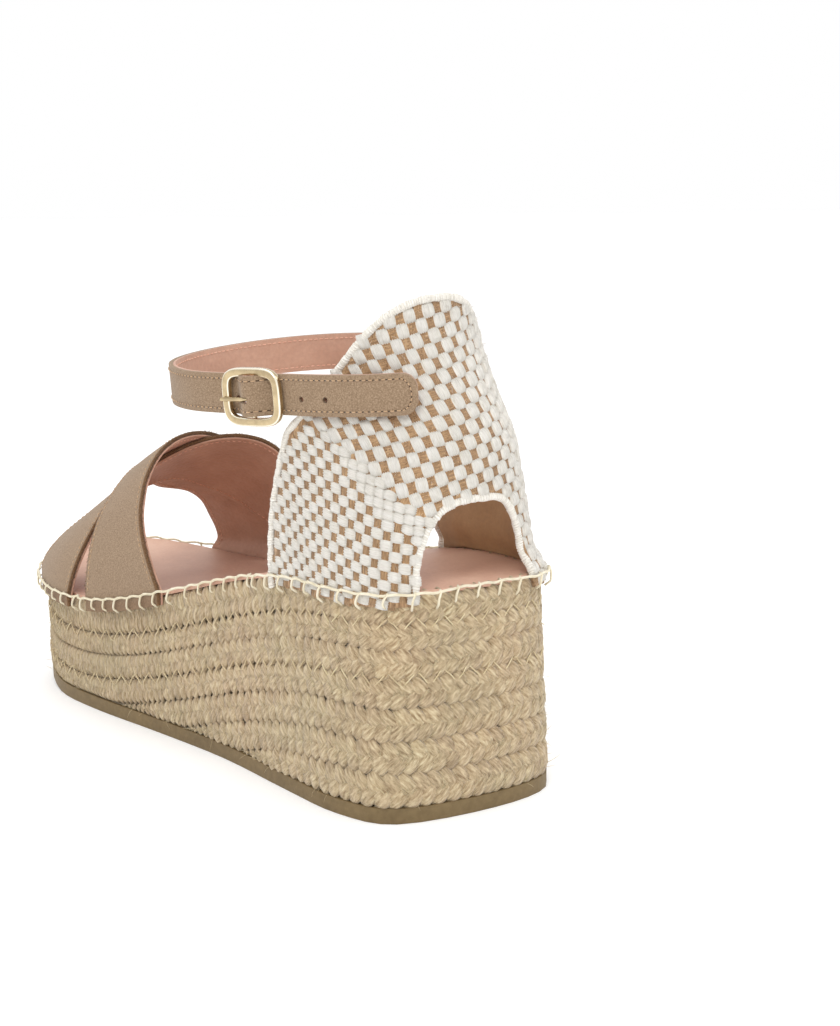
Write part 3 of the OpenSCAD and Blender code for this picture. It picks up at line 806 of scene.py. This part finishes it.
def pillow(build, u, z, turn, wide, tall, base, high, ribs, tone, taper=0.08):
    """A pad of parallel yarns that dives under its neighbours at both ends, which are
    narrower than its middle by taper."""
    nu, nv = ribs * 2 + 1, 6
    c, s = math.cos(turn), math.sin(turn)
    rows, marks = [], []
    for j in range(nv + 1):
        v = j / nv * 2 - 1
        row, mark = [], []
        for i in range(nu):
            across = i / (nu - 1) * 2 - 1
            ridge = i % 2
            x = across * wide / 2 * (1 - taper * v * v)
            y = v * tall / 2 * (0.95 + 0.07 * ridge)
            zz = z + s * x + c * y
            aa = min(89.5, max(-89.5, sweep_at(u + c * x - s * y, zz)))
            arch = math.sqrt(1 - 0.97 * abs(v) ** 3) * (1 - 0.35 * abs(across) ** 4)
            groove = 0 if ridge else 0.34
            side = 0.8 if i in (0, nu - 1) else 0
            row.append(panel_point(aa, zz, base - high * arch + groove + side))
            mark.append((y + 20 * tone, i * 0.5, tone))
        rows.append(row)
        marks.append(mark)
    build.grid(rows, marks)


class Cloth:
    """A basket weave: its turn and cell size, and the way its white yarns run."""

    def __init__(self, turn, wide, tall, flat, keep, all_white=None):
        self.turn, self.wide, self.tall, self.keep = math.radians(turn), wide, tall, keep
        self.flat = flat
        self.all_white = all_white or (lambda u, z: False)


UPPER_CLOTH = Cloth(-13, 3.15, 3.7, False, lambda u, z: above_join(u, z) > 0.6)
LOWER_CLOTH = Cloth(11, 3.1, 2.85, True, lambda u, z: above_join(u, z) < 0.5,
                    lambda u, z: above_join(u, z) > -3.5 - 0.27 * (42 - u))


def weave():
    white, tan = Build(), Build()
    for cloth in (UPPER_CLOTH, LOWER_CLOTH):
        quarter = math.pi / 2
        for u, z, i, j in cell_places(cloth.turn, cloth.wide, cloth.tall, cloth.keep):
            turn = cloth.turn + rng.gauss(0, 0.035)
            w = cloth.wide * (1 + 0.05 * rng.gauss(0, 0.5))
            t, tone = cloth.tall, rng.random()
            if (i + j) % 2 == 0 or cloth.all_white(u, z):
                high = 1.15 + 0.2 * rng.random()
                if cloth.all_white(u, z):
                    pillow(white, u, z, turn + quarter + 0.15, t * 1.2, w * 1.42, 0.75,
                           high + 0.3 * ((i + j) % 2), 4, tone, 0.4)
                elif cloth.flat:
                    pillow(white, u, z, turn + quarter, t * 1.2, w * 1.3, 0.62, high, 4, tone)
                else:
                    pillow(white, u, z, turn, w * 1.24, t * 1.18, 0.62, high, 5, tone)
            elif cloth.flat:
                pillow(tan, u, z, turn, w * 0.86, t * 0.94, 0.72, 0.34, 3, tone)
            else:
                pillow(tan, u, z, turn + quarter, t * 0.92, w * 0.88, 0.72, 0.34, 3, tone)
    for _ in range(500):
        a, share = 176 * rng.random() - 88, rng.random()
        z = mix(panel_low_z(a) + 1, panel_top_z(a) + 0.5, 1 - share ** 2)
        p, n = panel_point(a, z, -0.2), -panel_normal(a, z)
        way = Vector((rng.gauss(0, 1), rng.gauss(0, 1), rng.gauss(0, 1))).normalized()
        reach = 0.8 + 2.0 * rng.random() ** 2
        path = [p, p + n * 0.5 + way * 0.4 * reach, p + n * 0.7 + way * reach]
        white.sweep(path, [n] * 3, [0.05, 0.045, 0.02], [0.05, 0.045, 0.02], 3, False,
                    rng.random())
    top = white.object("canvas_white_yarn", WHITE_YARN, slot="canvas")
    tan.object("canvas_tan_yarn", TAN_YARN, slot="canvas")
    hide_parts("heel_panel")


def canvas_ground():
    """The cloth under the raised yarns, and its inner face."""
    ground = Build()
    cols, levels = 120, 26
    outer, inner, marks = [], [], []
    for i in range(cols + 1):
        a = -88.8 + 177.6 * i / cols
        lo, hi = panel_low_z(a) + 0.6, panel_top_z(a) - 0.8
        zs = [mix(lo, hi, (j / levels) ** 1.25) for j in range(levels + 1)]
        outer.append([panel_point(a, z, 0.62) for z in zs])
        inner.append([panel_point(a, z, CANVAS) for z in zs])
        marks.append([(z, a * 0.2, 0.3) for z in zs])
    ring = [o + list(reversed(n)) for o, n in zip(outer, inner)]
    ids = ground.grid(ring, [m + list(reversed(m)) for m in marks], wrap=True)
    ground.faces.append(tuple(ids[0]))
    ground.faces.append(tuple(reversed(ids[-1])))
    return ground.object("canvas_ground", TAN_YARN, slot="canvas")


def whipped_edge(name, node, points, normals, r, swell):
    """An edge covered by fine yarn wound round it, in blocks that swell and sink."""
    rope = Build()
    pitch, block = 0.78, 6.4
    lens = np.concatenate([[0], np.cumsum([(b - a).length for a, b in zip(points, points[1:])])])
    total = float(lens[-1])
    count = int(total / pitch)
    for i in range(count):
        at = (i + 0.5) * total / count
        k = int(np.searchsorted(lens, at)) - 1
        k = max(0, min(len(points) - 2, k))
        f = (at - lens[k]) / (lens[k + 1] - lens[k])
        p, n = mix(points[k], points[k + 1], f), mix(normals[k], normals[k + 1], f).normalized()
        t = (points[k + 1] - points[k]).normalized()
        side = t.cross(n).normalized()
        n = side.cross(t)
        ring, out = [], []
        rr = r * (1 + swell * abs(math.sin(math.pi * at / block)) + 0.07 * rng.gauss(0, 1))
        for m in range(10):
            w = 2 * math.pi * m / 10
            radial = side * math.cos(w) + n * math.sin(w)
            ring.append(p + radial * rr + t * 0.3 * math.sin(w))
            out.append(radial)
        rope.sweep(ring, out, [pitch * 0.6] * 10, [0.36] * 10, 6, True, rng.random())
    cord(rope, points, normals, r * 0.9, 0.2, 8)
    obj = rope.object(name, WHITE_YARN, slot="canvas")
    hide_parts(node)
    return obj


def panel_edges():
    d = CANVAS / 2
    hem = rim_z(-61) - 3.5
    line = [(-90, mix(hem, panel_top_z(90), i / 24)) for i in range(24)]
    line += [(a, panel_top_z(a)) for a in (-90 + 2 * i for i in range(91))]
    line += [(90, mix(panel_top_z(90), hem, i / 24)) for i in range(1, 25)]
    points = [panel_point(a, z, d) for a, z in line]
    whipped_edge("panel_edge_yarn", "panel_binding", points,
                 [-panel_normal(a, z) for a, z in line], 0.72, 0.35)
    line = []
    for i in range(-60, 61):
        w = math.radians(87.8 * i / 60)
        s, c, k = math.sin(w), math.cos(w), 2 / CUT_SHAPE
        line.append((CUT_MID + CUT_HALF * math.copysign(abs(s) ** k, s),
                     HEEL_H - HEM + (CUT_H + HEM) * c ** k))
    points = [panel_point(a, z, d) for a, z in line]
    whipped_edge("cutout_edge_yarn", "cutout_binding", points,
                 [-panel_normal(a, z) for a, z in line], 0.8, 0.2)


weave()
canvas_ground()
panel_edges()


# ---------- vamp bands ----------
def soft_columns(width):
    """Shares of a band's width, close together near its two edges."""
    near = [d / width for d in (0, 0.2, 0.45, 0.8, 1.2, 1.8, 2.8)]
    middle = [mix(near[-1], 1 - near[-1], i / 10) for i in range(1, 10)]
    return near + middle + [1 - f for f in reversed(near)]


def band(name, node, front, rear, base, lift, thick, material, slot):
    """A strap of leather with rounded, darker edges, and its hem outside the rim."""
    skin = Build()
    along = [-10, -5] + [2.5 * i for i in range(73)] + [185, 190]
    rows, marks = [], []
    for t in along:
        c = min(180, max(0, t))
        width = max(6.0, abs(edge_y(front, c) - edge_y(rear, c)))
        outer, inner, tones = [], [], []
        for f in soft_columns(width):
            d = min(f, 1 - f) * width
            soft = clamp01(d / 0.7)
            soft = math.sqrt(1 - (1 - soft) ** 2)
            fuzz = 0.1 * rng.random() * (1 - clamp01(d / 2))
            outer.append(band_point(front, rear, t, f, base, lift,
                                    thick * (0.55 + 0.45 * soft) + fuzz))
            inner.append(band_point(front, rear, t, f, base, lift, thick * 0.3 * (1 - soft)))
            tones.append((t, f, max(clamp01(1.7 - d / 0.6), 0.55 * clamp01(-t / 4))))
        rows.append(outer + inner[::-1])
        marks.append(tones + [(t, f, 1.0) for t, f, _ in tones[::-1]])
    ids = skin.grid(rows, marks, wrap=True)
    skin.faces.append(tuple(ids[0]))
    skin.faces.append(tuple(reversed(ids[-1])))
    obj = skin.object(name, material, slot=slot)
    obj.data.set_sharp_from_angle(angle=math.radians(60))
    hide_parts(node)
    return obj


def band_seams(name, front, rear, base, lift, extra, material, slot, sign):
    """Lines of stitches near the band's edges; sign is 1 outside and -1 on the lining."""
    thread = Build()
    for near in (0, 1):
        t = 3.0
        while t < 177:
            width = abs(edge_y(front, t) - edge_y(rear, t))
            f = abs(near - min(0.3, 2.1 / max(width, 4)))
            a = band_point(front, rear, t, f, base, lift, extra)
            probe = band_point(front, rear, t + 1, f, base, lift, extra)
            step = 2.0 / max(0.2, (probe - a).length)
            b = band_point(front, rear, t + step * 0.7, f, base, lift, extra)
            up = band_point(front, rear, t, f, base, lift, extra + 1) - a
            dash(thread, a, b, up.normalized() * sign, 0.17, rng.random())
            t += step
    return thread.object(name, material, slot=slot)


def edge_fuzz(name, front, rear, base, lift):
    """Short hairs that stand off the raw edges of a suede band."""
    hairs = Build()
    for edge in (0, 1):
        t = 1.0
        while t < 179:
            a = band_point(front, rear, t, edge, base, lift, SUEDE * rng.random())
            width = abs(edge_y(front, t) - edge_y(rear, t))
            off = band_point(front, rear, t, edge + (0.5 - edge) * -2 / max(width, 6), base, lift,
                             SUEDE / 2) - band_point(front, rear, t, edge, base, lift, SUEDE / 2)
            way = (off.normalized() + 0.7 * Vector((rng.gauss(0, 1), rng.gauss(0, 1),
                                                   rng.gauss(0, 1)))).normalized()
            reach = 0.35 + 0.35 * rng.random()
            path = [a - way * 0.1, a + way * 0.5 * reach, a + way * reach]
            hairs.sweep(path, [Vector((0.1, 0.2, 1))] * 3, [0.1, 0.09, 0.04], [0.1, 0.09, 0.04],
                        3, False, 0.4 + 0.6 * rng.random())
            probe = band_point(front, rear, t + 0.5, edge, base, lift, SUEDE / 2)
            b = band_point(front, rear, t, edge, base, lift, SUEDE / 2)
            t += 0.5 * 0.22 / max(0.05, (probe - b).length)
    return hairs.object(name, SUEDE_MAT, slot="suede")


def vamp():
    for name, front, rear, lift in (("under", UNDER_FRONT, UNDER_REAR, 0),
                                    ("over", OVER_FRONT, OVER_REAR, CROSSING)):
        band(f"{name}_band_suede", f"{name}_band", front, rear, SUEDE_OUT, lift, SUEDE,
             SUEDE_MAT, "suede")
        band(f"{name}_band_leather", f"{name}_band_lining", front, rear, HEM_OUT, lift, LINING,
             LINING_MAT, "lining_leather")
        edge_fuzz(f"{name}_band_fuzz", front, rear, SUEDE_OUT, lift)
        band_seams(f"{name}_band_stitches", front, rear, SUEDE_OUT, lift, SUEDE, STITCH,
                   "suede", 1)
        band_seams(f"{name}_lining_stitches", front, rear, HEM_OUT, lift, 0.0, PINK_STITCH,
                   "lining_leather", -1)


vamp()


def strap_piece(name, node, material, bevel):
    source = NODES[node]
    mesh = source.data.copy()
    mesh.name = name
    obj = bpy.data.objects.new(name, mesh)
    bpy.context.scene.collection.objects.link(obj)
    bm = bmesh.new()
    bm.from_mesh(mesh)
    bmesh.ops.remove_doubles(bm, verts=bm.verts, dist=0.00001)
    bmesh.ops.dissolve_limit(bm, angle_limit=math.radians(0.5), verts=bm.verts, edges=bm.edges)
    bm.to_mesh(mesh)
    bm.free()
    mesh.materials.clear()
    mesh.materials.append(material)
    b = obj.modifiers.new("bevel", "BEVEL")
    b.width, b.segments = bevel * MM, 2
    b.limit_method, b.angle_limit = "ANGLE", math.radians(40)
    bpy.context.view_layer.update()
    done = bpy.data.meshes.new_from_object(obj.evaluated_get(bpy.context.evaluated_depsgraph_get()))
    obj.modifiers.clear()
    obj.data = done
    for poly in done.polygons:
        poly.use_smooth = True
    done.set_sharp_from_angle(angle=math.radians(35))
    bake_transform(obj)
    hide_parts(node)
    return obj


def strap_seams(name, off, material, sign):
    """Stitches along both edges and round the tip, over a dark line of painted shade for the needle
    holes.
    """
    thread, holes = Build(), Build()
    inset, pitch, turns = 1.5, 1.9, 9
    start, ends, round_tip = 4.9, 8.9, 3.1
    half = STRAP_W / 2 - inset

    def point(side, d):
        return strap_point(d, off, side * half)

    def tip(_, f):
        w = math.pi * (f - 0.5)
        return strap_point(start - round_tip * math.cos(w), off, half * math.sin(w))

    count = int((STRAP_LEN - ends) / pitch)
    runs = [(point, side, [start + pitch * i for i in range(count)], pitch) for side in (1, -1)]
    runs.append((tip, 1, [i / turns for i in range(turns)], 1 / turns))
    for place, side, starts, step in runs:
        for d in starts:
            a, b = place(side, d + 0.12 * step), place(side, d + 0.8 * step)
            spine = place(side, d + step)
            flat = strap_point(max(d, 3) if place is point else 3, off, 0)
            up = (strap_point(max(d, 3) if place is point else 3, off + 1, 0) - flat)
            up = up.normalized() * sign
            dash(thread, a, b, up, 0.2, rng.random())
            gap = [place(side, d) - up * 0.12, spine - up * 0.12]
            # a dark cord sunk under each run of stitches: painted shade in the needle holes
            holes.sweep(gap, [up] * 2, [0.26] * 2, [0.2] * 2, 5)
    pieces = [thread.object(name, material, ride=False)]
    if sign > 0:
        pieces.append(holes.object(f"{name}_holes", HOLE_SHADE, ride=False))
    for obj in pieces:
        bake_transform(obj)


# ---------- buckle ----------
FRAME_L, FRAME_H, FRAME_W, FRAME_T, SAG = 22.0, 17.8, 2.7, 2.2, 0.6
FRAME_IN = STRAP_T / 2 + FRAME_GAP


def on_bar(x, y, z):
    """Place in the buckle's own frame: x along the strap, y outward, z across it."""
    def at(d):
        return path_at(STRAP_LINE, float(np.interp(d, _line_len, _fine)))
    t = at(BAR_D + 0.5) - at(BAR_D - 0.5)
    t /= np.linalg.norm(t)
    px, py = at(BAR_D) + t * x + np.array((-t[1], t[0])) * y
    c, s = math.cos(STRAP_TILT), math.sin(STRAP_TILT)
    return Vector((px * c - z * s, py, STRAP_Z + px * s + z * c))


def buckle():
    """A flat ring with round corners and soft bevels, and its bar."""
    ring = Build()
    steps, y = 72, FRAME_IN + FRAME_T / 2
    half_l, half_h = (FRAME_L - FRAME_W) / 2, (FRAME_H - FRAME_W) / 2
    out = (on_bar(0, 1, 0) - on_bar(0, 0, 0)).normalized()
    path = []
    for i in range(steps):
        w = 2 * math.pi * i / steps
        c, s = math.cos(w), math.sin(w)
        k = 2 / 4.2
        path.append(on_bar(half_l * math.copysign(abs(c) ** k, c), y,
                           half_h * math.copysign(abs(s) ** k, s) - SAG))
    ring.sweep(path, [out] * steps, [FRAME_W / 2] * steps, [FRAME_T / 2] * steps, 24, True, 0.5,
               1.0, 4.5)
    # the third mark becomes the place round the ring's section, which the metal paints as a
    # highlight on the bevels
    ring.marks = [(run, turn, abs(math.sin(2 * math.pi * turn))) for run, turn, _ in ring.marks]
    bar_y = FRAME_IN + BAR_R
    bar = [on_bar(0, bar_y, half_h * f / 4 - SAG) for f in range(-4, 5)]
    ring.sweep(bar, [out] * 9, [BAR_R] * 9, [BAR_R] * 9, 16)
    obj = ring.object("buckle_ring", METAL, body="frame_body", slot="metal")
    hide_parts("buckle_frame")
    return obj


strap_piece("ankle_strap_suede", "ankle_strap", SUEDE_MAT, 0.3)
strap_piece("ankle_strap_leather", "ankle_strap_lining", LINING_MAT, 0.2)
strap_seams("strap_stitches", STRAP_T / 2, STITCH, 1)
strap_seams("strap_lining_stitches", -STRAP_T / 2, PINK_STITCH, -1)
buckle()


# ---------- studio ----------
def floor():
    mesh = bpy.data.meshes.new("floor")
    w = 40.0
    mesh.from_pydata([(-w, -w, 0), (w, -w, 0), (w, w, 0), (-w, w, 0)], [], [(0, 1, 2, 3)])
    obj = bpy.data.objects.new("floor", mesh)
    bpy.context.scene.collection.objects.link(obj)
    s = Shader("floor", rough=0.9, spec=0.2)
    s.bsdf.inputs["Emission Color"].default_value = (1, 1, 1, 1)
    s.bsdf.inputs["Emission Strength"].default_value = 0.14
    mesh.materials.append(s.finish((0.9, 0.9, 0.9, 1)))


LIGHT_TARGET = Vector((0, 0, 0.06))


def area_light(name, place, size, power):
    data = bpy.data.lights.new(name, "AREA")
    data.shape, data.size, data.energy = "DISK", size, power
    obj = bpy.data.objects.new(name, data)
    obj.location = place
    obj.rotation_mode = "QUATERNION"
    obj.rotation_quaternion = (LIGHT_TARGET - Vector(place)).to_track_quat("-Z", "Y")
    bpy.context.scene.collection.objects.link(obj)


def world(strength):
    w = bpy.data.worlds.new("studio")
    bpy.context.scene.world = w
    w.use_nodes = True
    w.node_tree.nodes["Background"].inputs["Color"].default_value = (1, 1, 1, 1)
    w.node_tree.nodes["Background"].inputs["Strength"].default_value = strength


def camera():
    az, el, roll = math.radians(-37.136), math.radians(9.768), math.radians(-0.532)
    target, distance = Vector((0.073609, 0.010495, 0.064136)), 0.67004
    back = Vector((math.sin(az) * math.cos(el), -math.cos(az) * math.cos(el), math.sin(el)))
    data = bpy.data.cameras.new("camera")
    data.lens, data.sensor_width = 62.03, 36
    data.clip_start, data.clip_end = 0.01, 50
    obj = bpy.data.objects.new("camera", data)
    obj.rotation_mode = "QUATERNION"
    obj.location = target + back * distance
    turn = (-back).to_track_quat("-Z", "Y")
    obj.rotation_quaternion = turn @ Matrix.Rotation(roll, 3, "Z").to_quaternion()
    bpy.context.scene.collection.objects.link(obj)
    bpy.context.scene.camera = obj


floor()
bpy.context.scene.view_settings.view_transform = "Standard"
world(1.0)
area_light("key", (-0.9, -0.9, 1.3), 0.9, 9)
area_light("fill", (1.3, -0.8, 0.9), 1.2, 3)
area_light("top", (0.1, 0.3, 1.6), 1.4, 5)
camera()
